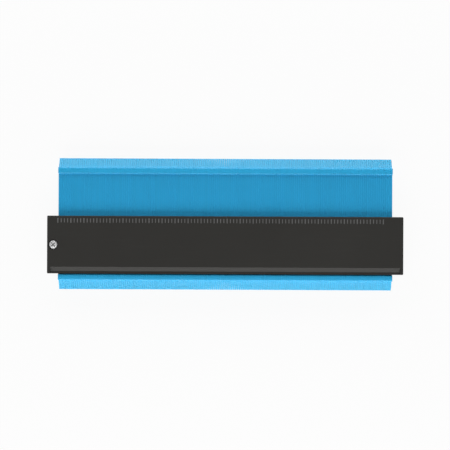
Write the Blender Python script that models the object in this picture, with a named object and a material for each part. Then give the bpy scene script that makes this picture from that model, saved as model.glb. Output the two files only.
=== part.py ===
"""Plastic contour gauge, lying flat on its back.

X runs along the frame and its scale, Y is the way the leaves slide and Z is up, out of the
front face. The origin is the middle of the frame's back face. A black frame of two moulded
halves, which come from one mould, holds a pack of thin blue leaves. Each leaf is a flat
plate with a raised stop near each tip, so that it can slide but not fall out. A foam pad in
each half rubs on the leaves and keeps them where they are pushed. One screw from the front
and one from the back hold the halves together.

The leaves are made in groups, each one solid that slides by itself. As many groups are made
as the slot holds.
"""

import math

import bmesh
import bpy
from mathutils import Matrix, Vector

MM = 0.001

# Leaves
LEAF_THICKNESS = 1.605 * MM
LEAVES_IN_GROUP = 3
GROUP_GAP = 0.05 * MM
STOP_SPAN = 77.4 * MM
STOP_HEIGHT = 5.0 * MM
TIP_LENGTH = 7.2 * MM
WEB_DEPTH = 10.0 * MM
STOP_DEPTH = 13.4 * MM
NECK_DEPTH = 7.6 * MM
TIP_DEPTH = 1.7 * MM
EDGE_DRAFT = 0.15 * MM
GAP_AT_LOWER_STOP = 0.3 * MM

# Frame
FRAME_LENGTH = 274.0 * MM
FRAME_HEIGHT = 44.5 * MM
FRAME_THICKNESS = 18.0 * MM
END_BLOCK = 7.9 * MM
LEAST_END_PLAY = 0.15 * MM
FACE_WALL = 2.0 * MM
GUIDE_CLEARANCE = 0.2 * MM
LEAD_IN = 0.6 * MM
PARTING_GAP = 0.2 * MM
EDGE_ROUND = 0.7 * MM
END_RIM = 2.4 * MM
LEDGE_HEIGHT = 1.9 * MM
SLOPE_HEIGHT = 3.35 * MM
SLOPE_DROP = 1.7 * MM
POCKETS_IN_ROW = 6
RIB = 1.4 * MM

# Friction pads
PAD_WIDTH = 16.0 * MM
PAD_SIDE_GAP = 0.3 * MM
PAD_END_GAP = 1.0 * MM
PAD_SEAT_GAP = 0.1 * MM
PAD_LEAF_GAP = 0.1 * MM
PAD_CORNER = 0.3 * MM

# Screws, with the pegs and sockets that line the halves up
SCREW_FROM_END = 4.7 * MM
HEAD_DIAMETER = 6.4 * MM
HEAD_HEIGHT = 2.0 * MM
HEAD_SUNK = 0.1 * MM
HEAD_SEAT_GAP = 0.1 * MM
HEAD_SIDE = 1.0 * MM
CROWN_FULLNESS = 3.0  # 2 gives an ellipse, and more a flatter top with a rounder shoulder
CROWN_STEPS = 4
COUNTERBORE_CLEARANCE = 0.6 * MM
SHANK_DIAMETER = 2.9 * MM
SHANK_CLEARANCE = 0.25 * MM
PILOT_CLEARANCE = 0.1 * MM
SHANK_BITE = 5.8 * MM
POINT_DIAMETER = 1.0 * MM
PILOT_END_GAP = 0.6 * MM
CROSS_SPAN = 3.6 * MM
CROSS_WIDTH = 0.9 * MM
CROSS_DEPTH = 1.4 * MM
CROSS_BOTTOM_SHARE = 0.4
PEG_DIAMETER = 3.0 * MM
PEG_HEIGHT = 2.0 * MM
PEG_CLEARANCE = 0.2 * MM
PEG_SPACING = 30.0 * MM

ROUND_SEGMENTS = 20
PAST = 1.0 * MM  # how far a cutter reaches past the face that it cuts

# Worked out from the sizes above
GROUP_WIDTH = LEAVES_IN_GROUP * LEAF_THICKNESS
GROUP_PITCH = GROUP_WIDTH + GROUP_GAP
SLOT_LENGTH = FRAME_LENGTH - 2 * END_BLOCK
GROUP_COUNT = int((SLOT_LENGTH - 2 * LEAST_END_PLAY + GROUP_GAP) / GROUP_PITCH)
HALF_LENGTH = FRAME_LENGTH / 2
HALF_HEIGHT = FRAME_HEIGHT / 2
HALF_THICKNESS = FRAME_THICKNESS / 2
LIP_FACE = WEB_DEPTH / 2 + GUIDE_CLEARANCE
POCKET_FLOOR = HALF_THICKNESS - FACE_WALL
GUIDE_LIP = LEDGE_HEIGHT + SLOPE_HEIGHT
PAD_CHANNEL = PAD_WIDTH + 2 * PAD_SIDE_GAP
SCREW_X = HALF_LENGTH - SCREW_FROM_END
HEAD_SEAT = HALF_THICKNESS - HEAD_SUNK - HEAD_HEIGHT - HEAD_SEAT_GAP
LEAF_Y = STOP_SPAN / 2 - HALF_HEIGHT - GAP_AT_LOWER_STOP


def clear_scene():
    for obj in list(bpy.data.objects):
        bpy.data.objects.remove(obj)


def plastic(name, colour, roughness, metallic=0.0):
    material = bpy.data.materials.new(name)
    material.use_nodes = True
    shader = material.node_tree.nodes["Principled BSDF"]
    shader.inputs["Base Color"].default_value = (*colour, 1.0)
    shader.inputs["Roughness"].default_value = roughness
    shader.inputs["Metallic"].default_value = metallic
    return material


def mesh_from(bm, name):
    bmesh.ops.recalc_face_normals(bm, faces=bm.faces)
    mesh = bpy.data.meshes.new(name)
    bm.to_mesh(mesh)
    bm.free()
    return mesh


def add_object(name, mesh, location=(0, 0, 0), turn_about_y=0.0):
    obj = bpy.data.objects.new(name, mesh)
    obj.location = location
    obj.rotation_euler = (0, turn_about_y, 0)
    bpy.context.scene.collection.objects.link(obj)
    return obj


def block_mesh(name, low, high):
    """A box from its lowest corner to its highest."""
    low, high = Vector(low), Vector(high)
    bm = bmesh.new()
    bmesh.ops.create_cube(bm, size=1.0)
    bmesh.ops.scale(bm, vec=high - low, verts=bm.verts)
    bmesh.ops.translate(bm, vec=(low + high) / 2, verts=bm.verts)
    return mesh_from(bm, name)


def round_mesh(name, radius, low, high, x=0.0, y=0.0):
    """A round bar along Z, from low to high."""
    bm = bmesh.new()
    bmesh.ops.create_cone(
        bm,
        cap_ends=True,
        segments=ROUND_SEGMENTS,
        radius1=radius,
        radius2=radius,
        depth=high - low,
        matrix=Matrix.Translation((x, y, (low + high) / 2)),
    )
    return mesh_from(bm, name)


def swept_mesh(name, outline, x_low, x_high):
    """A prism along X whose outline is a list of (y, z) points."""
    bm = bmesh.new()
    face = bm.faces.new([bm.verts.new((x_low, y, z)) for y, z in outline])
    made = bmesh.ops.extrude_face_region(bm, geom=[face])
    moved = [item for item in made["geom"] if isinstance(item, bmesh.types.BMVert)]
    bmesh.ops.translate(bm, vec=(x_high - x_low, 0, 0), verts=moved)
    return mesh_from(bm, name)


def turned_mesh(name, profile):
    """A solid turned about Z from (radius, z) points that start and end on the axis."""
    bm = bmesh.new()
    verts = [bm.verts.new((radius, 0, z)) for radius, z in profile]
    edges = [bm.edges.new(pair) for pair in zip(verts, verts[1:])]
    bmesh.ops.spin(
        bm,
        geom=verts + edges,
        axis=(0, 0, 1),
        cent=(0, 0, 0),
        angle=2 * math.pi,
        steps=ROUND_SEGMENTS,
        use_merge=True,
    )
    bmesh.ops.remove_doubles(bm, verts=bm.verts, dist=0.001 * MM)
    return mesh_from(bm, name)


def carved_mesh(name, blank, cutters, additions=()):
    """The blank with the cutters taken away and the additions joined on."""
    body = add_object(name + "_blank", blank)
    helpers = [body]
    for operation, meshes in (("DIFFERENCE", cutters), ("UNION", additions)):
        for tool_mesh in meshes:
            tool = add_object(tool_mesh.name + "_tool", tool_mesh)
            tool.hide_render = True
            tool.display_type = "WIRE"
            helpers.append(tool)
            boolean = body.modifiers.new(tool_mesh.name, "BOOLEAN")
            boolean.operation = operation
            boolean.solver = "EXACT"
            boolean.object = tool
    bpy.context.view_layer.update()
    evaluated = body.evaluated_get(bpy.context.evaluated_depsgraph_get())
    mesh = bpy.data.meshes.new_from_object(evaluated)
    mesh.name = name
    for helper in helpers:
        bpy.data.objects.remove(helper)
    return mesh


def shell_blank():
    """The outer block of one frame half, rounded round its outer face and at its corners."""
    mesh = block_mesh(
        "shell_block",
        (-HALF_LENGTH, -HALF_HEIGHT, PARTING_GAP / 2),
        (HALF_LENGTH, HALF_HEIGHT, HALF_THICKNESS),
    )
    bm = bmesh.new()
    bm.from_mesh(mesh)
    middle = HALF_THICKNESS / 2
    outer = [e for e in bm.edges if max(v.co.z for v in e.verts) > middle]
    bmesh.ops.bevel(bm, geom=outer, offset=EDGE_ROUND, segments=2, profile=0.5, affect="EDGES")
    return mesh_from(bm, "shell_block")


def leaf_channel():
    """The half of the slot that this half of the frame holds, flared at both mouths."""
    out = HALF_HEIGHT + PAST
    flare = LIP_FACE + LEAD_IN + PAST
    side = [(out, -PAST), (out, flare), (HALF_HEIGHT - LEAD_IN, LIP_FACE)]
    outline = side + [(-y, z) for y, z in reversed(side)]
    return swept_mesh("leaf_channel", outline, -SLOT_LENGTH / 2, SLOT_LENGTH / 2)


def inner_pockets():
    """The pad's channel, and two rows of pockets that core out the face wall between ribs."""
    half_slot = SLOT_LENGTH / 2 - RIB
    yield block_mesh(
        "pad_channel",
        (-half_slot, -PAD_CHANNEL / 2, 0),
        (half_slot, PAD_CHANNEL / 2, POCKET_FLOOR),
    )
    pitch = (2 * half_slot + RIB) / POCKETS_IN_ROW
    near = PAD_CHANNEL / 2 + RIB
    far = HALF_HEIGHT - GUIDE_LIP
    for row, (low, high) in {"upper": (near, far), "lower": (-far, -near)}.items():
        for i in range(POCKETS_IN_ROW):
            x = -half_slot + i * pitch
            yield block_mesh(
                f"{row}_pocket_{i}", (x, low, 0), (x + pitch - RIB, high, POCKET_FLOOR)
            )


def sloped_edge():
    """The slope and the ledge along the lower edge of the outer face, between the end rims."""
    foot = -HALF_HEIGHT + LEDGE_HEIGHT
    rise = SLOPE_DROP / SLOPE_HEIGHT
    outline = [
        (-HALF_HEIGHT - PAST, HALF_THICKNESS - SLOPE_DROP),
        (foot, HALF_THICKNESS - SLOPE_DROP),
        (foot + SLOPE_HEIGHT + PAST, HALF_THICKNESS + PAST * rise),
        (-HALF_HEIGHT - PAST, HALF_THICKNESS + PAST * rise),
    ]
    reach = HALF_LENGTH - END_RIM
    return swept_mesh("sloped_edge", outline, -reach, reach)


def screw_holes():
    """The head's counterbore and clear hole at one end, and the blind pilot hole at the other."""
    head = HEAD_DIAMETER / 2 + COUNTERBORE_CLEARANCE
    clear = SHANK_DIAMETER / 2 + SHANK_CLEARANCE
    pilot = SHANK_DIAMETER / 2 + PILOT_CLEARANCE
    yield round_mesh("counterbore", head, HEAD_SEAT, HALF_THICKNESS + PAST, x=-SCREW_X)
    yield round_mesh("clear_hole", clear, -PAST, HALF_THICKNESS, x=-SCREW_X)
    yield round_mesh("pilot_hole", pilot, -PAST, SHANK_BITE + PILOT_END_GAP, x=SCREW_X)


def peg_sockets():
    radius = PEG_DIAMETER / 2 + PEG_CLEARANCE
    depth = PEG_HEIGHT + PARTING_GAP / 2 + PEG_CLEARANCE
    for side in (-1, 1):
        yield round_mesh(
            f"socket_{side}", radius, -PAST, depth, x=SCREW_X, y=side * PEG_SPACING / 2
        )


def pegs():
    for side in (-1, 1):
        yield round_mesh(
            f"peg_{side}",
            PEG_DIAMETER / 2,
            -PEG_HEIGHT,
            PEG_HEIGHT,
            x=-SCREW_X,
            y=side * PEG_SPACING / 2,
        )


def shell_mesh():
    """One frame half, with its outer face at +Z and the middle of the frame at Z 0."""
    cutters = [
        leaf_channel(),
        *inner_pockets(),
        sloped_edge(),
        *screw_holes(),
        *peg_sockets(),
    ]
    return carved_mesh("frame_half", shell_blank(), cutters, additions=pegs())


def pad_mesh():
    """A foam strip with bevelled edges, which lies in a half's channel."""
    half_length = SLOT_LENGTH / 2 - RIB - PAD_END_GAP
    mesh = block_mesh(
        "pad",
        (-half_length, -PAD_WIDTH / 2, WEB_DEPTH / 2 + PAD_LEAF_GAP),
        (half_length, PAD_WIDTH / 2, POCKET_FLOOR - PAD_SEAT_GAP),
    )
    bm = bmesh.new()
    bm.from_mesh(mesh)
    bmesh.ops.bevel(bm, geom=bm.edges[:], offset=PAD_CORNER, segments=1, affect="EDGES")
    return mesh_from(bm, "pad")


def cross_recess(top):
    """The driver's cross, narrower towards its bottom."""
    arm, half = CROSS_SPAN / 2, CROSS_WIDTH / 2
    growth = (1 - CROSS_BOTTOM_SHARE) / CROSS_DEPTH
    levels = ((top - CROSS_DEPTH, CROSS_BOTTOM_SHARE), (top + PAST, 1 + growth * PAST))
    bm = bmesh.new()
    rings = []
    for z, size in levels:
        ring = []
        for quarter in range(4):
            turn = Matrix.Rotation(quarter * math.pi / 2, 2)
            for x, y in ((half, -half), (arm, -half), (arm, half)):
                ring.append(bm.verts.new((*(turn @ Vector((x, y)) * size), z)))
        rings.append(ring)
    bottom, mouth = rings
    for i in range(len(bottom)):
        bm.faces.new((bottom[i - 1], bottom[i], mouth[i], mouth[i - 1]))
    bm.faces.new(bottom)
    bm.faces.new(mouth)
    return mesh_from(bm, "cross_recess")


def screw_mesh():
    """A pan-head screw in a half's own frame, with its crown just under the outer face."""
    head = HEAD_DIAMETER / 2
    shank = SHANK_DIAMETER / 2
    seat = HEAD_SEAT + HEAD_SEAT_GAP
    top = seat + HEAD_HEIGHT
    power = 2 / CROWN_FULLNESS
    crown = []
    for i in range(CROWN_STEPS + 1):
        turn = i / CROWN_STEPS * math.pi / 2
        rise = (HEAD_HEIGHT - HEAD_SIDE) * math.cos(turn) ** power
        crown.append((head * math.sin(turn) ** power, seat + HEAD_SIDE + rise))
    profile = crown + [
        (head, seat),
        (shank, seat),
        (shank, -SHANK_BITE + shank),
        (POINT_DIAMETER / 2, -SHANK_BITE),
        (0, -SHANK_BITE),
    ]
    return carved_mesh("screw", turned_mesh("screw_blank", profile), [cross_recess(top)])


def leaf_outline():
    """Half of a leaf's outline, from one stop to the other on its front side, as (y, z)."""
    stop_inner = STOP_SPAN / 2
    stop_outer = stop_inner + STOP_HEIGHT
    tip = stop_outer + TIP_LENGTH
    upper = [
        (tip, TIP_DEPTH / 2),
        (stop_outer, NECK_DEPTH / 2),
        (stop_outer, STOP_DEPTH / 2),
        (stop_inner, STOP_DEPTH / 2),
        (stop_inner, WEB_DEPTH / 2),
    ]
    front = upper + [(-y, z) for y, z in reversed(upper)]
    return front + [(y, -z) for y, z in reversed(front)]


def inset(outline, distance):
    """The outline, which runs anticlockwise, moved inwards with its corners mitred."""
    moved = []
    for before, here, after in zip(outline[-1:] + outline, outline, outline[1:] + outline[:1]):
        before, here, after = Vector(before), Vector(here), Vector(after)
        normal = (here - before).orthogonal().normalized()
        next_normal = (after - here).orthogonal().normalized()
        mitre = (normal + next_normal).normalized()
        moved.append(here + mitre * distance / mitre.dot(normal))
    return [tuple(point) for point in moved]


def leaf_group_mesh():
    """Leaves side by side, each drafted all round, from a full edge at -X to a smaller one."""
    full = leaf_outline()
    drafted = inset(full, EDGE_DRAFT)
    rings = []
    for i in range(LEAVES_IN_GROUP):
        x = i * LEAF_THICKNESS - GROUP_WIDTH / 2
        rings.append([(x, y, z) for y, z in full])
        rings.append([(x + LEAF_THICKNESS, y, z) for y, z in drafted])
    bm = bmesh.new()
    rings = [[bm.verts.new(point) for point in ring] for ring in rings]
    for ring, after in zip(rings, rings[1:]):
        for i in range(len(ring)):
            bm.faces.new((ring[i - 1], ring[i], after[i], after[i - 1]))
    bm.faces.new(rings[0])
    bm.faces.new(rings[-1])
    return mesh_from(bm, "leaf_group")


def place(name, mesh, material, location, turn_about_y=0.0, smooth=False):
    obj = add_object(name, mesh, location, turn_about_y)
    if not mesh.materials:
        mesh.materials.append(material)
    if smooth:
        mesh.shade_smooth()
        mesh.set_sharp_from_angle(angle=math.radians(30))
    return obj


def main():
    clear_scene()
    black = plastic("black_abs", (0.035, 0.033, 0.031), 0.5)
    blue = plastic("blue_plastic", (0.02, 0.30, 0.58), 0.42)
    foam = plastic("foam", (0.03, 0.03, 0.03), 0.95)
    steel = plastic("zinc_plated_steel", (0.72, 0.72, 0.73), 0.28, 1.0)

    centre = (0, 0, HALF_THICKNESS)
    halves = {"front": 0.0, "back": math.pi}
    shell, pad, screw = shell_mesh(), pad_mesh(), screw_mesh()
    for side, turn in halves.items():
        place(f"{side}_shell", shell, black, centre, turn)
        place(f"{side}_friction_pad", pad, foam, centre, turn)
        screw_x = -SCREW_X * math.cos(turn)
        place(f"{side}_screw", screw, steel, (screw_x, 0, HALF_THICKNESS), turn, smooth=True)

    group = leaf_group_mesh()
    for i in range(GROUP_COUNT):
        x = (i - (GROUP_COUNT - 1) / 2) * GROUP_PITCH
        place(f"leaves_{i + 1:02d}", group, blue, (x, LEAF_Y, HALF_THICKNESS))


main()
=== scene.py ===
"""The looks of a plastic contour gauge with a black frame and thin blue leaves.

It is laid out as an add-on. Run as a script, it dresses the packed frame piece by piece.
Lengths are in metres. The gauge lies on its back: X runs along the frame, Y is the way the
leaves slide and Z is up.
"""

import math

import bmesh
import bpy
from mathutils import Matrix, Vector


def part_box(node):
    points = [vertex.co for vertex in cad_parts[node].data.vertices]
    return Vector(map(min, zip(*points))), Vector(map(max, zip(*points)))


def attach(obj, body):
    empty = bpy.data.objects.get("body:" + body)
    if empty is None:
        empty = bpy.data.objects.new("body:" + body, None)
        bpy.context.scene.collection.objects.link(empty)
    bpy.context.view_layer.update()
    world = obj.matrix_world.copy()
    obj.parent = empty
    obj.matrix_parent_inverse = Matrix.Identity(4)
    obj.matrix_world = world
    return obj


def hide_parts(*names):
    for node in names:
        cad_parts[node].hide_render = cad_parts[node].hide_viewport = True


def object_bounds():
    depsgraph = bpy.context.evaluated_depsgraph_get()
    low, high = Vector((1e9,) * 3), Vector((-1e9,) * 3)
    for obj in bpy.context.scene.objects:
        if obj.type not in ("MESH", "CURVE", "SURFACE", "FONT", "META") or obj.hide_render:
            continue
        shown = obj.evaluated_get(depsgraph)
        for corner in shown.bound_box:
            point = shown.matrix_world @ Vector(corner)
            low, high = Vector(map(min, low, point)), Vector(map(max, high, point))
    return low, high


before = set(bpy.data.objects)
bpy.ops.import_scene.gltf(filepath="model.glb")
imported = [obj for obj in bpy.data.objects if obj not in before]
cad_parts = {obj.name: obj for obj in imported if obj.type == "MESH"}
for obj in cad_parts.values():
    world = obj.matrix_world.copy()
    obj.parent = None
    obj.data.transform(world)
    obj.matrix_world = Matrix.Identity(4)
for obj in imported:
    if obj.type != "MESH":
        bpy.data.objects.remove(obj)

bl_info = {
    "name": "Contour Gauge",
    "version": (1, 0, 0),
    "blender": (4, 5, 0),
    "location": "View3D > Sidebar > Contour Gauge",
    "description": "Dresses a contour gauge: moulded frame, sliding leaves, scale and screws",
    "category": "Object",
}

for leftover in ("Cube", "Light", "Camera"):
    if leftover in bpy.data.objects:
        bpy.data.objects.remove(bpy.data.objects[leftover])

MM = 0.001
CAD_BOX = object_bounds()

LEAF_NODES = sorted(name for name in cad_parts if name.startswith("leaves_"))
SHELLS = ("front_shell", "back_shell")
SCREWS = ("front_screw", "back_screw")
PADS = ("front_friction_pad", "back_friction_pad")

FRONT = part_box("front_shell")
FACE_Z = FRONT[1].z
FIRST_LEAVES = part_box(LEAF_NODES[0])

# When points of a mesh count as one, edges as flat or soft, and a face as facing along an axis
MERGE_DISTANCE = 0.002 * MM
SAME_PLACE = 0.01 * MM
FLAT_DEGREES = 1.0
SMOOTH_DEGREES = 50
FACING = 0.9

# Light, with each lamp's direction and height over the floor in degrees, and its size
LAMP_DISTANCE = 0.9
LAMPS = {
    "upper": (90, 22, (1.6, 0.5)),
    "lower": (-90, 34, (1.6, 0.5)),
    "skimming": (-90, 4, (1.6, 0.2)),
}
# Heights in degrees over which the walls fade out and the ceiling fades in
WALL_FADE = (12, 18)
CEILING_FADE = (50, 70)
# How white the floor looks, how much of the shadow it keeps, and its true finish
PAPER_WHITE = 0.983
FLOOR_SHADOW = 0.06
FLOOR_COLOUR = 0.93
FLOOR_ROUGHNESS = 0.9
FLOOR_SPECULAR = 0.1

# Where the frame lies in the photograph, in its own pixels
PHOTO_WIDTH_PX = 450
PHOTO_CENTRE_PX = (225.0, 225.0)
FRAME_CENTRE_PX = (225.2, 245.3)
FRAME_WIDTH_PX = 356.7
PHOTO_ROLL = math.radians(0.26)


def length_setting(name, description, default):
    return bpy.props.FloatProperty(
        name=name,
        description=description,
        default=default,
        min=0.0,
        unit="LENGTH",
        subtype="DISTANCE",
        precision=5,
    )


def share_setting(name, description, default):
    return bpy.props.FloatProperty(
        name=name, description=description, default=default, min=0.0, max=1.0, subtype="FACTOR"
    )


def colour_setting(name, description, default):
    return bpy.props.FloatVectorProperty(
        name=name, description=description, default=default, size=3, min=0, max=1, subtype="COLOR"
    )


def power_setting(name, description, default):
    return bpy.props.FloatProperty(
        name=name, description=description, default=default, min=0.0, unit="POWER"
    )


def angle_setting(name, description, degrees):
    return bpy.props.FloatProperty(
        name=name,
        description=description,
        default=math.radians(degrees),
        unit="ROTATION",
        subtype="ANGLE",
    )


def count_setting(name, description, default):
    return bpy.props.IntProperty(name=name, description=description, default=default, min=1)


def group_setting(kind, name):
    return bpy.props.PointerProperty(type=kind, name=name, description=kind.__doc__)


class LeafSettings(bpy.types.PropertyGroup):
    """The blue leaves."""

    count: count_setting("Leaves in a group", "How many leaves slide together as one body", 3)
    gap: length_setting("Gap", "Least space between two leaves", 0.004 * MM)
    edge: length_setting("Edge round", "How far a leaf's long edges are rounded", 0.04 * MM)
    tip_narrowing: length_setting("Tip narrowing", "How far a tip's sides stand back", 0.05 * MM)
    outer_corner: length_setting("Outer corner", "Radius of a stop's outer corners", 1.1 * MM)
    corner: length_setting("Corner round", "Radius of the stops' corners by the web", 0.8 * MM)
    neck_round: length_setting("Neck round", "Radius where the stops meet tip and web", 0.3 * MM)
    tip_round: length_setting("Tip round", "Radius of the tips' corners", 0.55 * MM)
    thinning: share_setting("Thinning", "How much thinner than the others a leaf may be", 0.002)
    unevenness: length_setting("Unevenness", "How far a leaf may stand back", 0.05 * MM)
    colour: colour_setting("Colour", "Base colour of the blue plastic", (0.0205, 0.362, 0.682))
    roughness: share_setting("Roughness", "Roughness of the blue plastic", 0.38)
    specular: share_setting("Specular", "How strongly the blue plastic mirrors", 0.32)
    shade: share_setting("Shade difference", "How much leaves differ in shade", 0.02)
    # Painted highlight: the tips, and the stops in part, get a lighter colour that stands in for
    # the light they catch.
    tip_highlight_colour: colour_setting("Tip highlight colour", "Lighter colour painted on the tips as a highlight", (0.0270, 0.399, 0.688))
    stop_highlight_share: share_setting("Stop highlight share", "How near the stops' colour is to the tips'", 0.5)


class ShellSettings(bpy.types.PropertyGroup):
    """The two halves of the black frame."""

    edge: length_setting("Edge round", "Radius put on every moulded edge", 0.2 * MM)
    edge_over: angle_setting("Edge over", "Edges that turn by more than this are rounded", 22)
    colour: colour_setting("Colour", "Base colour of the black plastic", (0.0312, 0.0302, 0.0277))
    roughness: share_setting("Roughness", "Roughness of the moulded faces", 0.42)
    specular: share_setting("Specular", "How strongly the moulded faces mirror", 0.18)


class ScaleSettings(bpy.types.PropertyGroup):
    """The scale moulded on the front face."""

    span: length_setting("Span", "Length of the scale", 250.0 * MM)
    pitch: length_setting("Pitch", "Distance between two marks", 2.5 * MM)
    long_every: count_setting("Long mark every", "How many marks apart the long ones are", 4)
    width: length_setting("Mark width", "Width of a mark", 0.6 * MM)
    height: length_setting("Mark height", "How far a mark reaches across the face", 3.1 * MM)
    long_extra: length_setting("Long mark extra", "How much longer a long mark is", 0.5 * MM)
    relief: length_setting("Relief", "How far the marks stand out of the face", 0.08 * MM)
    slope: share_setting("Slope", "Share of a mark's width that each sloping side takes", 0.12)
    shoulder_drop: share_setting("Shoulder drop", "Share of the relief that the slopes fall", 0.6)
    from_edge: length_setting("From edge", "From the frame's upper edge to the marks", 2.1 * MM)
    start: length_setting("Start", "From the frame's left end to the first mark", 8.4 * MM)
    colour: colour_setting("Colour", "Base colour of the marks", (0.120, 0.120, 0.120))


class ScrewSettings(bpy.types.PropertyGroup):
    """The two screws."""

    colour: colour_setting("Colour", "Colour of the zinc plating", (0.96, 0.96, 0.96))
    roughness: share_setting("Roughness", "Roughness of the plating", 0.34)
    metallic: share_setting("Metallic", "How far the plating is free of whitish film", 0.55)
    cross_span: length_setting("Cross span", "Length of the recess's arms, tip to tip", 4.6 * MM)
    cross_width: length_setting("Cross width", "Width of the recess's arms", 1.0 * MM)
    cross_depth: length_setting("Cross depth", "Depth of the recess", 1.4 * MM)
    cross_turn: angle_setting("Cross turn", "How far the recess is turned about the axis", 43)
    # Painted shade in the cross recess: how much darker its bottom is coloured.
    recess_painted_shade: share_setting("Recess painted shade", "How much darker the bottom of the recess is", 0.5)
    head_side: length_setting("Head side", "Height of the head's straight side", 1.0 * MM)
    fullness: bpy.props.FloatProperty(
        name="Fullness",
        description="2 gives a round crown, and more a flatter top",
        default=3.0,
        min=2.0,
    )
    thread_pitch: length_setting("Thread pitch", "Distance between two turns of thread", 1.1 * MM)
    thread_depth: length_setting("Thread depth", "How deep the thread is cut", 0.35 * MM)


class PadSettings(bpy.types.PropertyGroup):
    """The foam strips inside the frame."""

    colour: colour_setting("Colour", "Colour of the foam", (0.025, 0.025, 0.027))
    roughness: share_setting("Roughness", "Roughness of the foam", 0.95)
    corner: length_setting("Corner round", "Radius of the strips' corners", 0.5 * MM)
    edge_over: angle_setting("Edge over", "Edges that turn by more than this are rounded", 20)
    fill: share_setting("Fill", "How tightly the foam is stuffed, from slack to full", 1.0)


class StageSettings(bpy.types.PropertyGroup):
    """Floor, lamps and camera."""

    distance: length_setting("Camera distance", "From the camera to the front face", 0.68)
    sensor: bpy.props.FloatProperty(
        name="Sensor width",
        description="Width of the camera's sensor",
        default=36.0,
        unit="CAMERA",
        subtype="DISTANCE_CAMERA",
    )
    floor: length_setting("Floor size", "Side of the floor", 6.0)
    walls: share_setting("Walls", "Strength of the white surroundings near the horizon", 0.95)
    ceiling: share_setting("Ceiling", "Strength of the light from straight above", 0.4)
    upper: power_setting("Upper lamp", "Power of the lamp past the upper tips", 11.0)
    lower: power_setting("Lower lamp", "Power of the lamp past the lower tips", 8.6)
    skimming: power_setting("Skimming lamp", "Power of the lamp that skims the lower tips", 7.8)


class GaugeSettings(bpy.types.PropertyGroup):
    """All the settings of the gauge."""

    leaves: group_setting(LeafSettings, "Leaves")
    shells: group_setting(ShellSettings, "Frame halves")
    scale: group_setting(ScaleSettings, "Scale")
    screws: group_setting(ScrewSettings, "Screws")
    pads: group_setting(PadSettings, "Friction pads")
    stage: group_setting(StageSettings, "Stage")


# Nodes


def add_node(tree, kind, **values):
    """A node with its properties, and its inputs' values by their names, set."""
    node = tree.nodes.new(kind)
    for name, value in values.items():
        if hasattr(node, name):
            setattr(node, name, value)
        else:
            node.inputs[name.replace("_", " ").title()].default_value = value
    return node


def node_group(kind, name, inputs, outputs):
    """An empty node group with named sockets, and its input and output nodes."""
    group = bpy.data.node_groups.new(name, kind)
    for label, socket_kind, default in inputs:
        socket = group.interface.new_socket(label, in_out="INPUT", socket_type=socket_kind)
        if default is not None:
            socket.default_value = default
    for label, socket_kind in outputs:
        group.interface.new_socket(label, in_out="OUTPUT", socket_type=socket_kind)
    return group, group.nodes.new("NodeGroupInput"), group.nodes.new("NodeGroupOutput")


def feed(tree, socket, value):
    """Links another socket's value to the socket, or sets a plain value on it."""
    if isinstance(value, bpy.types.NodeSocket):
        tree.links.new(value, socket)
    else:
        socket.default_value = value


def noise(tree, vector, scale, detail=2.0, roughness=0.5):
    node = add_node(tree, "ShaderNodeTexNoise", Detail=detail, Roughness=roughness)
    feed(tree, node.inputs["Scale"], scale)
    tree.links.new(vector, node.inputs["Vector"])
    return node.outputs["Fac"]


def spread(tree, value, low, high, from_low=0.0, from_high=1.0):
    """The value moved from one range to another."""
    node = add_node(tree, "ShaderNodeMapRange", From_Min=from_low, From_Max=from_high)
    feed(tree, node.inputs["To Min"], low)
    feed(tree, node.inputs["To Max"], high)
    tree.links.new(value, node.inputs["Value"])
    return node.outputs["Result"]


def math_node(tree, operation, first, second):
    node = add_node(tree, "ShaderNodeMath", operation=operation)
    feed(tree, node.inputs[0], first)
    feed(tree, node.inputs[1], second)
    return node.outputs[0]


def vector_from(tree, x=0.0, y=0.0, z=0.0):
    node = tree.nodes.new("ShaderNodeCombineXYZ")
    for socket, value in zip(node.inputs, (x, y, z)):
        feed(tree, socket, value)
    return node.outputs[0]


def between_colours(tree, share, first, second):
    """A colour on the way from the first to the second."""
    node = add_node(tree, "ShaderNodeMix", data_type="RGBA")
    ends = [socket for socket in node.inputs if socket.type == "RGBA"]
    for socket, value in zip(ends, (first, second)):
        socket.default_value = (*value, 1.0)
    tree.links.new(share, node.inputs["Factor"])
    return next(socket for socket in node.outputs if socket.type == "RGBA")


def tinted(tree, colour_socket, strength):
    """The colour made lighter or darker by the strength."""
    node = add_node(tree, "ShaderNodeHueSaturation")
    tree.links.new(colour_socket, node.inputs["Color"])
    tree.links.new(strength, node.inputs["Value"])
    return node.outputs["Color"]


def tinted_colour(tree, value, strength):
    """A plain colour made lighter or darker by the strength."""
    base = add_node(tree, "ShaderNodeRGB")
    base.outputs[0].default_value = (*value, 1.0)
    return tinted(tree, base.outputs[0], strength)


def add_bump(tree, shader, height, strength, depth):
    """Roughens the shader's surface by the height."""
    bump = add_node(tree, "ShaderNodeBump", Strength=strength, Distance=depth)
    tree.links.new(height, bump.inputs["Height"])
    tree.links.new(bump.outputs["Normal"], shader.inputs["Normal"])


# Materials


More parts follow.
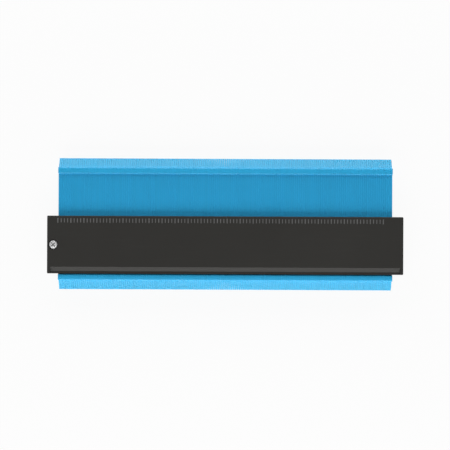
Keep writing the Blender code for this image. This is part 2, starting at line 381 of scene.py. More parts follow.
def moulded_plastic_group():
    """Spark-eroded grain, cloudy shade and roughness, and fine rubbing marks along one way."""
    cloud_scale = 18.0
    rub_from, rub_full = 0.55, 0.8
    cloud_in_roughness, rub_in_roughness = 0.5, 0.6
    group, start, end = node_group(
        "ShaderNodeTree",
        "Moulded plastic",
        [
            ("Vector", "NodeSocketVector", None),
            ("Colour", "NodeSocketColor", (0.5, 0.5, 0.5, 1.0)),
            ("Shade", "NodeSocketFloat", 1.0),
            ("Cloudiness", "NodeSocketFloat", 0.1),
            ("Roughness", "NodeSocketFloat", 0.5),
            ("Grain size", "NodeSocketFloat", 3500.0),
            ("Grain depth", "NodeSocketFloat", 0.2),
            ("Rub stretch", "NodeSocketVector", (1.0, 1.0, 1.0)),
            ("Rub strength", "NodeSocketFloat", 0.1),
        ],
        [
            ("Colour", "NodeSocketColor"),
            ("Roughness", "NodeSocketFloat"),
            ("Height", "NodeSocketFloat"),
        ],
    )
    vector = start.outputs["Vector"]
    clouds = noise(group, vector, cloud_scale, detail=3.0)
    cloud = math_node(
        group, "MULTIPLY", spread(group, clouds, -1.0, 1.0), start.outputs["Cloudiness"]
    )

    stretched = add_node(group, "ShaderNodeVectorMath", operation="MULTIPLY")
    group.links.new(vector, stretched.inputs[0])
    group.links.new(start.outputs["Rub stretch"], stretched.inputs[1])
    rub = noise(group, stretched.outputs[0], 1.0, detail=4.0, roughness=0.65)
    rub = spread(group, rub, 0.0, 1.0, rub_from, rub_full)
    rub = math_node(group, "MULTIPLY", rub, start.outputs["Rub strength"])

    shade = math_node(group, "ADD", start.outputs["Shade"], cloud)
    shade = math_node(group, "ADD", shade, rub)
    group.links.new(tinted(group, start.outputs["Colour"], shade), end.inputs["Colour"])

    rougher = math_node(group, "MULTIPLY", cloud, cloud_in_roughness)
    smoother = math_node(group, "MULTIPLY", rub, rub_in_roughness)
    rough = math_node(group, "ADD", start.outputs["Roughness"], rougher)
    group.links.new(math_node(group, "SUBTRACT", rough, smoother), end.inputs["Roughness"])

    grain = noise(group, vector, start.outputs["Grain size"])
    height = math_node(group, "MULTIPLY", grain, start.outputs["Grain depth"])
    group.links.new(height, end.inputs["Height"])
    return group


def new_material(name):
    """A material with its Principled shader, and an Object coordinate to read."""
    material = bpy.data.materials.new(name)
    material.use_nodes = True
    tree = material.node_tree
    place = add_node(tree, "ShaderNodeTexCoord")
    return material, tree, tree.nodes["Principled BSDF"], place.outputs["Object"]


def add_plastic(tree, shader, place, relief, **values):
    """Feeds the shader from the plastic group, whose inputs are named in the values."""
    plastic = add_node(tree, "ShaderNodeGroup")
    plastic.node_tree = bpy.data.node_groups["Moulded plastic"]
    tree.links.new(place, plastic.inputs["Vector"])
    for name, value in values.items():
        feed(tree, plastic.inputs[name.replace("_", " ")], value)
    add_bump(tree, shader, plastic.outputs["Height"], 1.0, relief)
    tree.links.new(plastic.outputs["Colour"], shader.inputs["Base Color"])
    tree.links.new(plastic.outputs["Roughness"], shader.inputs["Roughness"])


def black_plastic(shells):
    material, tree, shader, place = new_material("Black moulded plastic")
    add_plastic(
        tree,
        shader,
        place,
        relief=0.05 * MM,
        Colour=(*shells.colour, 1.0),
        Cloudiness=0.10,
        Roughness=shells.roughness,
        Grain_size=2600.0,
        Grain_depth=0.5,
        Rub_stretch=(22.0, 340.0, 340.0),
        Rub_strength=0.12,
    )
    shader.inputs["Specular IOR Level"].default_value = shells.specular
    return material


def mark_plastic(scale, roughness):
    material, tree, shader, place = new_material("Scale marks")
    add_plastic(
        tree,
        shader,
        place,
        relief=0.04 * MM,
        Colour=(*scale.colour, 1.0),
        Cloudiness=0.35,
        Roughness=roughness,
        Grain_size=3000.0,
        Grain_depth=0.4,
        Rub_stretch=(420.0, 60.0, 60.0),
        Rub_strength=1.2,
    )
    return material


def blue_plastic(leaves):
    """Blue plastic whose shade differs from leaf to leaf, with rubbing marks along the leaves, and
    a painted highlight that makes the tips and stops lighter.
    """
    material, tree, shader, place = new_material("Blue leaf plastic")
    leaf = add_node(tree, "ShaderNodeAttribute", attribute_name="leaf_shade")
    light = add_node(tree, "ShaderNodeAttribute", attribute_name="lightness")
    add_plastic(
        tree,
        shader,
        place,
        relief=0.02 * MM,
        Colour=between_colours(tree, light.outputs["Fac"], leaves.colour, leaves.tip_highlight_colour),
        Shade=spread(tree, leaf.outputs["Fac"], 1.0 - leaves.shade, 1.0 + leaves.shade),
        Cloudiness=0.05,
        Roughness=leaves.roughness,
        Grain_size=5200.0,
        Grain_depth=0.06,
        Rub_stretch=(900.0, 45.0, 900.0),
        Rub_strength=0.06,
    )
    shader.inputs["Specular IOR Level"].default_value = leaves.specular
    return material


def foam_material(pads):
    """Dark foam with open cells, darker in their middles as painted shade in the cells' hollows."""
    cell_scale, cell_depth, cell_edge = 1600.0, 0.2 * MM, 0.8
    darkest, lightest = 0.6, 1.5
    material, tree, shader, place = new_material("Foam")
    cells = add_node(tree, "ShaderNodeTexVoronoi", Scale=cell_scale)
    tree.links.new(place, cells.inputs["Vector"])
    from_middle = cells.outputs["Distance"]
    add_bump(tree, shader, from_middle, 1.0, cell_depth)
    # Painted shade: the colour darkens towards each cell's middle, its deepest point.
    shade = spread(tree, from_middle, darkest, lightest, 0.0, cell_edge)
    tree.links.new(tinted_colour(tree, pads.colour, shade), shader.inputs["Base Color"])
    shader.inputs["Roughness"].default_value = pads.roughness
    return material


def zinc_material(screws):
    """Bright zinc, duller in spots, with painted shade that darkens it towards the bottom of the
    recess.
    """
    spot_scale, grain_scale, grain_depth = 900.0, 9000.0, 0.01 * MM
    darkest, lightest = 0.86, 1.04
    smoother, rougher = screws.roughness - 0.06, screws.roughness + 0.12
    material, tree, shader, place = new_material("Bright zinc")
    spots = noise(tree, place, spot_scale, detail=3.0)
    # Painted shade: the zinc's colour darkens with depth in the cross recess, where shade falls.
    deep = add_node(tree, "ShaderNodeAttribute", attribute_name="recess_depth")
    recess_shading = spread(tree, deep.outputs["Fac"], 1.0, 1.0 - screws.recess_painted_shade)
    shade = math_node(tree, "MULTIPLY", spread(tree, spots, darkest, lightest), recess_shading)
    tree.links.new(tinted_colour(tree, screws.colour, shade), shader.inputs["Base Color"])
    tree.links.new(spread(tree, spots, smoother, rougher), shader.inputs["Roughness"])
    add_bump(tree, shader, noise(tree, place, grain_scale), 0.5, grain_depth)
    shader.inputs["Metallic"].default_value = screws.metallic
    return material


# Mesh helpers


def link_mesh(name, mesh, material=None):
    obj = bpy.data.objects.new(name, mesh)
    bpy.context.scene.collection.objects.link(obj)
    mesh.materials.append(material)
    return obj


def mesh_from(bm, name):
    bmesh.ops.recalc_face_normals(bm, faces=bm.faces)
    mesh = bpy.data.meshes.new(name)
    bm.to_mesh(mesh)
    bm.free()
    return mesh


def shade_by_angle(mesh, degrees):
    mesh.shade_smooth()
    mesh.set_sharp_from_angle(angle=math.radians(degrees))


def join_rings(bm, rings):
    """Faces from each ring of points to the next, and one over each end."""
    for ring, after in zip(rings, rings[1:]):
        for i in range(len(ring)):
            bm.faces.new((ring[i - 1], ring[i], after[i], after[i - 1]))
    bm.faces.new(rings[0])
    bm.faces.new(rings[-1])


def round_edges(obj, radius, over_angle):
    """Rounds every edge sharper than an angle, and keeps the flat faces looking flat."""
    bevel = obj.modifiers.new("edges", "BEVEL")
    bevel.width = radius
    bevel.segments = 2
    bevel.limit_method = "ANGLE"
    bevel.angle_limit = over_angle
    bevel.use_clamp_overlap = True
    applied(obj)
    shade_by_angle(obj.data, SMOOTH_DEGREES)
    weighted = obj.modifiers.new("normals", "WEIGHTED_NORMAL")
    weighted.keep_sharp = True
    return applied(obj)


def applied(obj):
    """The object with its modifiers turned into its mesh."""
    bpy.context.view_layer.update()
    evaluated = obj.evaluated_get(bpy.context.evaluated_depsgraph_get())
    mesh = bpy.data.meshes.new_from_object(evaluated)
    obj.modifiers.clear()
    obj.data = mesh
    return obj


def cut_away(obj, cutter):
    """Cuts one closed mesh out of another."""
    boolean = obj.modifiers.new("cut", "BOOLEAN")
    boolean.object = cutter
    boolean.solver = "EXACT"
    applied(obj)
    bpy.data.objects.remove(cutter)
    return obj


def node_copy(node):
    """A CAD node's mesh with its loose triangles joined and its flat faces made whole."""
    bm = bmesh.new()
    bm.from_mesh(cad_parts[node].data)
    bmesh.ops.remove_doubles(bm, verts=bm.verts, dist=MERGE_DISTANCE)
    bmesh.ops.dissolve_limit(
        bm,
        angle_limit=math.radians(FLAT_DEGREES),
        verts=bm.verts,
        edges=bm.edges,
        delimit=set(),
    )
    return mesh_from(bm, node + "_copy")


def settings():
    return bpy.context.scene.contour_gauge


class GaugeOperator:
    """What the operators of the gauge share."""

    bl_options = {"REGISTER", "UNDO"}


# Leaves


def leaf_corners():
    """A quarter of the first CAD group's outline, from tip to web, as (y, z) from its middle."""
    low, high = FIRST_LEAVES
    middle = (low + high) / 2
    corners = {
        (round(abs(v.co.y - middle.y), 5), round(abs(v.co.z - middle.z), 5))
        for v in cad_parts[LEAF_NODES[0]].data.vertices
        if v.co.x < low.x + SAME_PLACE
    }
    tip, *stop, web = sorted(corners, reverse=True)
    stop_out = sorted(corner for corner in stop if corner[0] == stop[0][0])
    stop_in = [corner for corner in stop if corner[0] != stop[0][0]]
    return [tip, *stop_out, *stop_in, web]


def rounded(before, corner, after, radius, steps=2):
    """A corner as an arc between its two sides."""
    to_before = (before - corner).normalized()
    to_after = (after - corner).normalized()
    half = to_before.angle(to_after) / 2
    reach = radius / math.tan(half)
    centre = corner + (to_before + to_after).normalized() * radius / math.sin(half)
    first = corner + to_before * reach - centre
    last = corner + to_after * reach - centre
    turns = [first.slerp(last, i / steps).normalized() for i in range(steps + 1)]
    return [centre + turn * radius for turn in turns]


def leaf_outline(leaves, quarter):
    """A leaf's outline round its own middle as (y, z) points, anticlockwise, corners rounded."""
    neck = leaves.neck_round
    radii = (leaves.tip_round, neck, leaves.outer_corner, leaves.corner, neck)
    front = [(Vector(corner), radius) for corner, radius in zip(quarter, radii)]
    front += [(Vector((-y, z)), radius) for (y, z), radius in reversed(front)]
    loop = front + [(Vector((y, -z)), radius) for (y, z), radius in reversed(front)]
    points = []
    for i, (corner, radius) in enumerate(loop):
        before, after = loop[i - 1][0], loop[(i + 1) % len(loop)][0]
        points += rounded(before, corner, after, radius)
    return points


def leaf_pitch(leaves):
    """From one leaf to the next, the same within a group and from group to group."""
    return (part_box(LEAF_NODES[1])[0].x - FIRST_LEAVES[0].x) / leaves.count


def leaf_mesh(leaves):
    """One leaf about the origin, with its long edges rounded off on both faces."""
    corners = leaf_corners()
    tip, neck = corners[:2]
    outline = leaf_outline(leaves, corners)
    half = (leaf_pitch(leaves) - leaves.gap) / 2
    stations = (
        (-half, leaves.edge),
        (leaves.edge - half, 0),
        (half - leaves.edge, 0),
        (half, leaves.edge),
    )
    bm = bmesh.new()
    # Each point stores its share of the painted highlight.
    light = bm.verts.layers.float.new("lightness")
    rings = []
    for x, inset in stations:
        ring = []
        for i, here in enumerate(outline):
            along = outline[(i + 1) % len(outline)] - outline[i - 1]
            inward = along.orthogonal().normalized() * inset
            towards_tip = max(0.0, (abs(here.x) - neck[0]) / (tip[0] - neck[0]))
            narrowed = x - math.copysign(leaves.tip_narrowing * towards_tip, x)
            vert = bm.verts.new((narrowed, *(here + inward)))
            vert[light] = lightness(leaves, corners, vert.co)
            ring.append(vert)
        rings.append(ring)
    join_rings(bm, rings)
    mesh = mesh_from(bm, "leaf")
    shade_by_angle(mesh, SMOOTH_DEGREES)
    for face in mesh.polygons:
        face.use_smooth = abs(face.normal.x) < FACING
    return mesh


def lightness(leaves, corners, place):
    """How far the plastic's colour at a point of a leaf is on the way to the tips' lighter colour,
    a painted highlight: all the way at the tips, part way on the stops.
    """
    neck, web = corners[1], corners[-1]
    if abs(place.y) > neck[0] - leaves.edge and abs(place.z) < neck[1] + leaves.neck_round:
        return 1.0
    if abs(place.z) > web[1] + leaves.neck_round:
        return leaves.stop_highlight_share
    return 0.0


def random_number(tree, seed, lowest, highest):
    node = add_node(tree, "FunctionNodeRandomValue", data_type="FLOAT")
    feed(tree, node.inputs[2], lowest)
    feed(tree, node.inputs[3], highest)
    tree.links.new(seed, node.inputs["Seed"])
    return node.outputs[1]


def point_row(tree, count, first, pitch):
    """Points side by side along X."""
    line = tree.nodes.new("GeometryNodeMeshLine")
    tree.links.new(count, line.inputs["Count"])
    tree.links.new(first, line.inputs["Start Location"])
    tree.links.new(vector_from(tree, x=pitch), line.inputs["Offset"])
    return line.outputs["Mesh"]


def placed_on(tree, points, shape, size):
    """The shape at each point, in a size of its own."""
    placed = tree.nodes.new("GeometryNodeInstanceOnPoints")
    tree.links.new(points, placed.inputs["Points"])
    tree.links.new(shape, placed.inputs["Instance"])
    tree.links.new(size, placed.inputs["Scale"])
    return placed.outputs["Instances"]


def finish_tree(tree, instances, material, end):
    """Makes the instances real, dresses them and sends them out."""
    real = tree.nodes.new("GeometryNodeRealizeInstances")
    tree.links.new(instances, real.inputs["Geometry"])
    dressed = tree.nodes.new("GeometryNodeSetMaterial")
    tree.links.new(real.outputs["Geometry"], dressed.inputs["Geometry"])
    tree.links.new(material, dressed.inputs["Material"])
    tree.links.new(dressed.outputs["Geometry"], end.inputs["Geometry"])
    tree.is_modifier = True


def leaf_tree():
    """Places leaves side by side along X, each with its own place, thickness and shade."""
    shade_seed, thinning_seed = 1000.0, 2000.0
    tree, start, end = node_group(
        "GeometryNodeTree",
        "Leaf pack",
        [
            ("Geometry", "NodeSocketGeometry", None),
            ("Count", "NodeSocketInt", 3),
            ("Pitch", "NodeSocketFloat", 1.6 * MM),
            ("Middle", "NodeSocketVector", (0.0, 0.0, 0.0)),
            ("Unevenness", "NodeSocketFloat", 0.1 * MM),
            ("Thinning", "NodeSocketFloat", 0.02),
            ("Seed", "NodeSocketInt", 1),
            ("Material", "NodeSocketMaterial", None),
        ],
        [("Geometry", "NodeSocketGeometry")],
    )
    given = start.outputs
    gaps = math_node(tree, "SUBTRACT", given["Count"], 1.0)
    reach = math_node(tree, "MULTIPLY", gaps, given["Pitch"])
    first = add_node(tree, "ShaderNodeVectorMath", operation="ADD")
    tree.links.new(given["Middle"], first.inputs[0])
    half_back = math_node(tree, "MULTIPLY", reach, -0.5)
    tree.links.new(vector_from(tree, x=half_back), first.inputs[1])
    row = point_row(tree, given["Count"], first.outputs[0], given["Pitch"])

    furthest_back = math_node(tree, "MULTIPLY", given["Unevenness"], -1.0)
    back = random_number(tree, given["Seed"], furthest_back, 0.0)
    moved = tree.nodes.new("GeometryNodeSetPosition")
    tree.links.new(row, moved.inputs["Geometry"])
    tree.links.new(vector_from(tree, y=back), moved.inputs["Offset"])

    seed = math_node(tree, "ADD", given["Seed"], thinning_seed)
    thinnest = math_node(tree, "SUBTRACT", 1.0, given["Thinning"])
    size = vector_from(tree, x=random_number(tree, seed, thinnest, 1.0), y=1.0, z=1.0)
    leaves = placed_on(tree, moved.outputs["Geometry"], given["Geometry"], size)

    seed = math_node(tree, "ADD", given["Seed"], shade_seed)
    store = tree.nodes.new("GeometryNodeStoreNamedAttribute")
    store.data_type = "FLOAT"
    store.domain = "INSTANCE"
    store.inputs["Name"].default_value = "leaf_shade"
    tree.links.new(leaves, store.inputs["Geometry"])
    tree.links.new(random_number(tree, seed, 0.0, 1.0), store.inputs["Value"])
    finish_tree(tree, store.outputs["Geometry"], given["Material"], end)
    return tree


def grown(obj, tree, values):
    """Runs a geometry tree on the object with the named inputs, and keeps the plain mesh."""
    modifier = obj.modifiers.new(tree.name, "NODES")
    modifier.node_group = tree
    for item in tree.interface.items_tree:
        if item.in_out == "INPUT" and item.name in values:
            modifier[item.identifier] = values[item.name]
    return applied(obj)


class GAUGE_OT_leaves(GaugeOperator, bpy.types.Operator):
    """Dress each group of leaves as separate leaves"""

    bl_idname = "gauge.leaves"
    bl_label = "Leaves"

    def execute(self, context):
        leaves = settings().leaves
        material = blue_plastic(leaves)
        tree = leaf_tree()
        leaf = leaf_mesh(leaves)
        for i, node in enumerate(LEAF_NODES):
            low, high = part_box(node)
            piece = link_mesh(f"dressed_{node}", leaf.copy(), material)
            values = {
                "Count": leaves.count,
                "Pitch": leaf_pitch(leaves),
                "Middle": (low + high) / 2,
                "Unevenness": leaves.unevenness,
                "Thinning": leaves.thinning,
                "Seed": i,
                "Material": material,
            }
            grown(piece, tree, values)
            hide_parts(node)
            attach(piece, node)
        return {"FINISHED"}


# Frame


class GAUGE_OT_shells(GaugeOperator, bpy.types.Operator):
    """Dress both halves of the frame with rounded edges and moulded plastic"""

    bl_idname = "gauge.shells"
    bl_label = "Frame halves"

    def execute(self, context):
        shells = settings().shells
        material = black_plastic(shells)
        for node in SHELLS:
            piece = link_mesh(f"moulded_{node}", node_copy(node), material)
            round_edges(piece, shells.edge, shells.edge_over)
            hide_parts(node)
            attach(piece, "frame")
        return {"FINISHED"}


def mark_mesh(scale):
    """One mark about the origin: a low bar with sloping sides, its foot just inside the face."""
    bm = bmesh.new()
    bmesh.ops.create_cube(bm, size=1.0)
    bmesh.ops.scale(bm, vec=(scale.width, scale.height, 2 * scale.relief), verts=bm.verts)
    top = [face for face in bm.faces if face.normal.z > FACING]
    bmesh.ops.inset_region(bm, faces=top, thickness=scale.slope * scale.width)
    for vert in bm.verts:
        if vert.co.z > 0 and vert not in top[0].verts:
            vert.co.z -= scale.shoulder_drop * scale.relief
    return mesh_from(bm, "mark")


def scale_tree():
    """Repeats a mark along X, and makes every so many of them longer."""
    tree, start, end = node_group(
        "GeometryNodeTree",
        "Scale",
        [
            ("Geometry", "NodeSocketGeometry", None),
            ("Count", "NodeSocketInt", 101),
            ("Pitch", "NodeSocketFloat", 2.5 * MM),
            ("Start", "NodeSocketVector", (0.0, 0.0, 0.0)),
            ("Long every", "NodeSocketInt", 4),
            ("Long factor", "NodeSocketFloat", 1.2),
            ("Material", "NodeSocketMaterial", None),
        ],
        [("Geometry", "NodeSocketGeometry")],
    )
    given = start.outputs
    row = point_row(tree, given["Count"], given["Start"], given["Pitch"])
    index = tree.nodes.new("GeometryNodeInputIndex")
    past_long = math_node(tree, "MODULO", index.outputs[0], given["Long every"])
    is_long = math_node(tree, "LESS_THAN", past_long, 0.5)
    extra = math_node(tree, "SUBTRACT", given["Long factor"], 1.0)
    stretch = math_node(tree, "ADD", math_node(tree, "MULTIPLY", is_long, extra), 1.0)
    size = vector_from(tree, x=stretch, y=stretch, z=1.0)
    marks = placed_on(tree, row, given["Geometry"], size)
    finish_tree(tree, marks, given["Material"], end)
    return tree


class GAUGE_OT_scale(GaugeOperator, bpy.types.Operator):
    """Mould the scale on the front face"""

    bl_idname = "gauge.scale"
    bl_label = "Scale"

    def execute(self, context):
        scale = settings().scale
        material = mark_plastic(scale, settings().shells.roughness)
        piece = link_mesh("front_scale_marks", mark_mesh(scale), material)
        top = FRONT[1].y - scale.from_edge - scale.height / 2
        values = {
            "Count": round(scale.span / scale.pitch) + 1,
            "Pitch": scale.pitch,
            "Start": (FRONT[0].x + scale.start, top, FACE_Z),
            "Long every": scale.long_every,
            "Long factor": 1 + scale.long_extra / scale.height,
            "Material": material,
        }
        grown(piece, scale_tree(), values)
        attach(piece, "frame")
        return {"FINISHED"}


# Screws and pads

# Degrees from the middle of a screw's crown to its rim, closest at the rounder shoulder
CROWN_DEGREES = (4, 12, 22, 32, 42, 52, 61, 69, 76, 82, 87)
RING_POINTS = 48
# Where the head's underside is chamfered, as shares of the head's radius and of its height
CHAMFER_RADIUS = 0.97
CHAMFER_HEIGHT = 0.12
# Rings for a turn of thread, and the end of the shank that isn't counted in the turns
RINGS_PER_TURN = 8
UNCOUNTED_END = 0.6 * MM
# How steep the crest is, how long the thread takes to start, and the screw's point
CREST_STEEPNESS = 4
STARTING_TURNS = 1.5
POINT_RADII = 2.2
POINT_TAPER = 0.8
# How much wider the recess is at its mouth and narrower at its floor, and the tool's overshoot
MOUTH_SHARE = 1.06
FLOOR_SHARE = 0.62
TOOL_OVERSHOOT = 0.3 * MM
SCREW_SMOOTH_DEGREES = 40
# What tells a CAD screw's head from its shank
RIM_SHARE = 0.99
CLEAR_OF_HEAD = 1 * MM


def screw_profile(screws, head_radius, head_height, shank_radius):
    """Radius and height points of a pan head, from its crown down to the shank."""
    power = 2 / screws.fullness
    rise = head_height - screws.head_side
    crown = [
        (head_radius * math.sin(a) ** power, screws.head_side + rise * math.cos(a) ** power)
        for a in (math.radians(degrees) for degrees in CROWN_DEGREES)
    ]
    return crown + [
        (head_radius, screws.head_side),
        (head_radius, head_height * CHAMFER_HEIGHT),
        (head_radius * CHAMFER_RADIUS, 0.0),
        (shank_radius, 0.0),
    ]


def thread_radius(screws, shank_radius, shank_length, depth, turn):
    """The shank's radius at a depth under the head, at a share of a turn round the axis."""
    point = POINT_RADII * shank_radius
    near_point = max(0.0, (depth - (shank_length - point)) / point)
    phase = (depth / screws.thread_pitch - turn) % 1.0
    crest = max(0.0, 1 - abs(phase - 0.5) * CREST_STEEPNESS)
    start = min(1.0, depth / (STARTING_TURNS * screws.thread_pitch))
    radius = shank_radius - screws.thread_depth * (1 - crest) * start
    return radius * (1 - POINT_TAPER * near_point)


def add_ring(bm, radii, z):
    """Points round the Z axis, one for each radius."""
    turns = [2 * math.pi * i / len(radii) for i in range(len(radii))]
    return [bm.verts.new((r * math.cos(t), r * math.sin(t), z)) for r, t in zip(radii, turns)]


def screw_mesh(screws, head_radius, head_height, shank_radius, shank_length):
    """A pan-head screw standing on the underside of its head, with a real helical thread."""
    bm = bmesh.new()
    profile = screw_profile(screws, head_radius, head_height, shank_radius)
    rings = [add_ring(bm, [radius] * RING_POINTS, z) for radius, z in profile]
    turns = (shank_length - UNCOUNTED_END) / screws.thread_pitch
    count = max(RINGS_PER_TURN, round(turns * RINGS_PER_TURN))
    for i in range(1, count + 1):
        depth = shank_length * i / count
        radii = [
            thread_radius(screws, shank_radius, shank_length, depth, j / RING_POINTS)
            for j in range(RING_POINTS)
        ]
        rings.append(add_ring(bm, radii, -depth))
    join_rings(bm, rings)
    return mesh_from(bm, "screw")


def recess_cutter(screws, top):
    """A cross-shaped tool whose arms taper towards the bottom of the recess."""
    bm = bmesh.new()
    arm, half = screws.cross_span / 2, screws.cross_width / 2
    star = []
    for quarter in range(4):
        turn = Matrix.Rotation(math.radians(90 * quarter), 2)
        for point in ((half, -half), (arm, -half), (arm, half)):
            star.append(turn @ Vector(point))
    levels = ((MOUTH_SHARE, top + TOOL_OVERSHOOT), (FLOOR_SHARE, top - screws.cross_depth))
    rings = [[bm.verts.new((p.x * size, p.y * size, z)) for p in star] for size, z in levels]
    join_rings(bm, rings)
    return link_mesh("recess_cutter", mesh_from(bm, "recess_cutter"))


def mark_recess(mesh, screws, top):
    """Stores how deep each point lies in the recess, from 0 at its mouth to 1 at its bottom, for
    the zinc's painted shade.
    """
    depths = mesh.attributes.new("recess_depth", "FLOAT", "POINT")
    for vert in mesh.vertices:
        if math.hypot(vert.co.x, vert.co.y) < screws.cross_span / 2 and vert.co.z > 0:
            depths.data[vert.index].value = min(1.0, (top - vert.co.z) / screws.cross_depth)


class GAUGE_OT_screws(GaugeOperator, bpy.types.Operator):
    """Make the two pan-head screws with their cross recesses and threads"""

    bl_idname = "gauge.screws"
    bl_label = "Screws"

    def execute(self, context):
        screws = settings().screws
        material = zinc_material(screws)
        for node in SCREWS:
            low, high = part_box(node)
            middle = (low + high) / 2
            up = 1 if node.startswith("front") else -1
            radius, height, shank = screw_sizes(node, middle, up)
            mesh = screw_mesh(screws, radius, height, shank, (high.z - low.z) - height)
            piece = link_mesh(f"threaded_{node}", mesh, material)
            cut_away(piece, recess_cutter(screws, height))
            mark_recess(piece.data, screws, height)
            under_head = (high.z - height) if up > 0 else (low.z + height)
            turn = Matrix.Rotation(0 if up > 0 else math.pi, 4, "Y")
            turn = turn @ Matrix.Rotation(screws.cross_turn, 4, "Z")
            piece.data.transform(Matrix.Translation((middle.x, middle.y, under_head)) @ turn)
            shade_by_angle(piece.data, SCREW_SMOOTH_DEGREES)
            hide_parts(node)
            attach(piece, "frame")
        return {"FINISHED"}


def screw_sizes(node, middle, up):
    """Head radius, head height and shank radius, read off the CAD screw."""
    rings = sorted(
        (round(up * (v.co.z - middle.z), 6), math.hypot(v.co.x - middle.x, v.co.y - middle.y))
        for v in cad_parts[node].data.vertices
    )
    head = max(r for z, r in rings)
    under = min(z for z, r in rings if r > RIM_SHARE * head)
    shank = max(r for z, r in rings if z < under - CLEAR_OF_HEAD)
    return head, rings[-1][0] - under, shank


class GAUGE_OT_pads(GaugeOperator, bpy.types.Operator):
    """Make the two foam strips that rub on the leaves"""

    bl_idname = "gauge.pads"
    bl_label = "Friction pads"

    def execute(self, context):
        pads = settings().pads
        material = foam_material(pads)
        for node in PADS:
            piece = link_mesh(f"foam_{node}", node_copy(node), material)
            round_edges(piece, pads.corner, pads.edge_over)
            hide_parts(node)
            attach(piece, "frame")
        return {"FINISHED"}


# Stage


def floor_material():
    """Pale floor. Camera, glossy and transmission rays see it nearly white, faintly shaded."""
    material = bpy.data.materials.new("Pale floor")
    material.use_nodes = True
    tree = material.node_tree
    shader = tree.nodes["Principled BSDF"]
    shader.inputs["Base Color"].default_value = (FLOOR_COLOUR, FLOOR_COLOUR, FLOOR_COLOUR, 1.0)
    shader.inputs["Roughness"].default_value = FLOOR_ROUGHNESS
    shader.inputs["Specular IOR Level"].default_value = FLOOR_SPECULAR
    path = tree.nodes.new("ShaderNodeLightPath")
    seen = math_node(tree, "MAXIMUM", path.outputs["Is Camera Ray"], path.outputs["Is Glossy Ray"])
    seen = math_node(tree, "MAXIMUM", seen, path.outputs["Is Transmission Ray"])
    white = add_node(tree, "ShaderNodeEmission", Strength=PAPER_WHITE)
    mix = tree.nodes.new("ShaderNodeMixShader")
    tree.links.new(math_node(tree, "MULTIPLY", seen, 1.0 - FLOOR_SHADOW), mix.inputs[0])
    tree.links.new(shader.outputs[0], mix.inputs[1])
    tree.links.new(white.outputs[0], mix.inputs[2])
    tree.links.new(mix.outputs[0], tree.nodes["Material Output"].inputs["Surface"])
    return material


def white_room(stage):
    """A world with white walls and a ceiling, and darkness between them."""
    world = bpy.data.worlds.new("White room")
    world.use_nodes = True
    tree = world.node_tree
    place = tree.nodes.new("ShaderNodeTexCoord")
    split = tree.nodes.new("ShaderNodeSeparateXYZ")
    tree.links.new(place.outputs["Generated"], split.inputs[0])
    strengths = []
    for degrees, low, high in ((WALL_FADE, stage.walls, 0.0), (CEILING_FADE, 0.0, stage.ceiling)):
        heights = (math.sin(math.radians(angle)) for angle in degrees)
        strengths.append(spread(tree, split.outputs["Z"], low, high, *heights))
    background = tree.nodes["Background"]
    tree.links.new(math_node(tree, "ADD", *strengths), background.inputs["Strength"])
    background.inputs["Color"].default_value = (1.0, 1.0, 1.0, 1.0)
    return world


def add_lamp(name, watts):
    """A soft rectangular lamp that looks at the middle of the gauge."""
    azimuth, elevation, size = LAMPS[name]
    light = bpy.data.lights.new(name + "_lamp", "AREA")
    light.shape = "RECTANGLE"
    light.size, light.size_y = size
    light.energy = watts
    lamp = bpy.data.objects.new(name + "_lamp", light)
    aside = Matrix.Rotation(math.radians(azimuth), 3, "Z") @ Vector((1, 0, 0))
    lamp.location = aside * LAMP_DISTANCE * math.cos(math.radians(elevation))
    lamp.location.z = LAMP_DISTANCE * math.sin(math.radians(elevation))
    lamp.rotation_euler = (-lamp.location).to_track_quat("-Z", "Y").to_euler()
    bpy.context.scene.collection.objects.link(lamp)
    return lamp


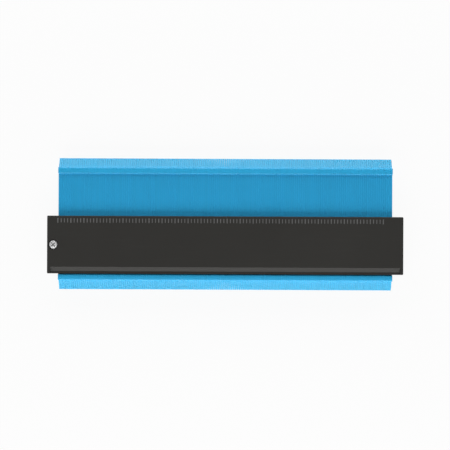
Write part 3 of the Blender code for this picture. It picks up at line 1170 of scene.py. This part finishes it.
class GAUGE_OT_stage(GaugeOperator, bpy.types.Operator):
    """Add the floor, lamps and camera"""

    bl_idname = "gauge.stage"
    bl_label = "Stage"

    def execute(self, context):
        stage = settings().stage
        scene = context.scene
        scene.view_settings.view_transform = "Standard"
        self.add_floor(stage)
        self.add_light(stage, scene)
        self.add_camera(stage, scene)
        return {"FINISHED"}

    def add_floor(self, stage):
        bm = bmesh.new()
        bmesh.ops.create_grid(bm, x_segments=1, y_segments=1, size=stage.floor / 2)
        bmesh.ops.translate(bm, vec=(0, 0, CAD_BOX[0].z), verts=bm.verts)
        link_mesh("floor", mesh_from(bm, "floor"), floor_material())

    def add_light(self, stage, scene):
        scene.world = white_room(stage)
        for name in LAMPS:
            add_lamp(name, getattr(stage, name))

    def add_camera(self, stage, scene):
        width = CAD_BOX[1].x - CAD_BOX[0].x
        per_px = width / FRAME_WIDTH_PX
        camera = bpy.data.cameras.new("camera")
        camera.sensor_width = stage.sensor
        camera.lens = stage.sensor * stage.distance / (PHOTO_WIDTH_PX * per_px)
        obj = bpy.data.objects.new("camera", camera)
        right = (PHOTO_CENTRE_PX[0] - FRAME_CENTRE_PX[0]) * per_px
        up = (FRAME_CENTRE_PX[1] - PHOTO_CENTRE_PX[1]) * per_px
        turn = Matrix.Rotation(PHOTO_ROLL, 4, "Z")
        place = turn @ Vector((right, up, 0))
        obj.matrix_world = Matrix.Translation((place.x, place.y, FACE_Z + stage.distance)) @ turn
        scene.collection.objects.link(obj)
        scene.camera = obj


class GAUGE_PT_panel(bpy.types.Panel):
    """Lists the steps that dress the gauge"""

    bl_idname = "GAUGE_PT_panel"
    bl_label = "Contour Gauge"
    bl_space_type = "VIEW_3D"
    bl_region_type = "UI"
    bl_category = "Contour Gauge"

    def draw(self, context):
        for operator in OPERATORS:
            self.layout.operator(operator.bl_idname)
        for name in ("leaves", "shells", "scale", "screws", "pads", "stage"):
            part = getattr(settings(), name)
            box = self.layout.box()
            box.label(text=name.title())
            for item in part.bl_rna.properties:
                if item.identifier not in {"rna_type", "name"}:
                    box.prop(part, item.identifier)


SETTINGS = (
    LeafSettings,
    ShellSettings,
    ScaleSettings,
    ScrewSettings,
    PadSettings,
    StageSettings,
    GaugeSettings,
)
OPERATORS = (
    GAUGE_OT_stage,
    GAUGE_OT_shells,
    GAUGE_OT_scale,
    GAUGE_OT_screws,
    GAUGE_OT_pads,
    GAUGE_OT_leaves,
)
CLASSES = SETTINGS + OPERATORS + (GAUGE_PT_panel,)


def register():
    for cls in CLASSES:
        bpy.utils.register_class(cls)
    bpy.types.Scene.contour_gauge = group_setting(GaugeSettings, "Contour gauge")


def unregister():
    del bpy.types.Scene.contour_gauge
    for cls in reversed(CLASSES):
        bpy.utils.unregister_class(cls)


def main():
    register()
    moulded_plastic_group()
    bpy.ops.gauge.stage()
    bpy.ops.gauge.shells()
    bpy.ops.gauge.scale()
    bpy.ops.gauge.screws()
    bpy.ops.gauge.pads()
    bpy.ops.gauge.leaves()


if __name__ == "__main__":
    main()
